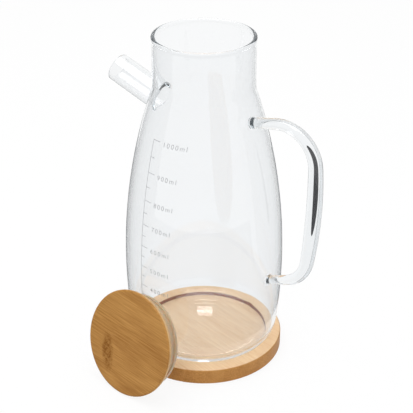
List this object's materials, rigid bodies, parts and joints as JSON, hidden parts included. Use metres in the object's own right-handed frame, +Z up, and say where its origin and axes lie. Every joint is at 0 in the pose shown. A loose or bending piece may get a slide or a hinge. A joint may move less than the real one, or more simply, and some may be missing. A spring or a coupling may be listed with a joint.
{
  "type": "glass pitcher",
  "caption": "Clear glass pitcher with a straight spout, a loop handle and a grey measuring scale, in a round bamboo tray, with its bamboo lid leaning against it.",
  "frame": {"origin": "centre of the tray's flat underside, on the table", "axes": "+Z up along the axis of the glass, +X towards the handle, -X towards the spout, -Y towards the lid and the printed scale"},
  "size_m": [0.1604, 0.1345, 0.22],
  "materials": {
    "glass": "clear, fire-polished",
    "bamboo": "smooth, lightly oiled",
    "silicone": "translucent, satin"
  },
  "bodies": {
    "root": {"glass_pitcher": "glass", "bamboo_tray": "bamboo", "bamboo_lid": "bamboo", "lid_seal": "silicone"}
  },
  "joints": []
}
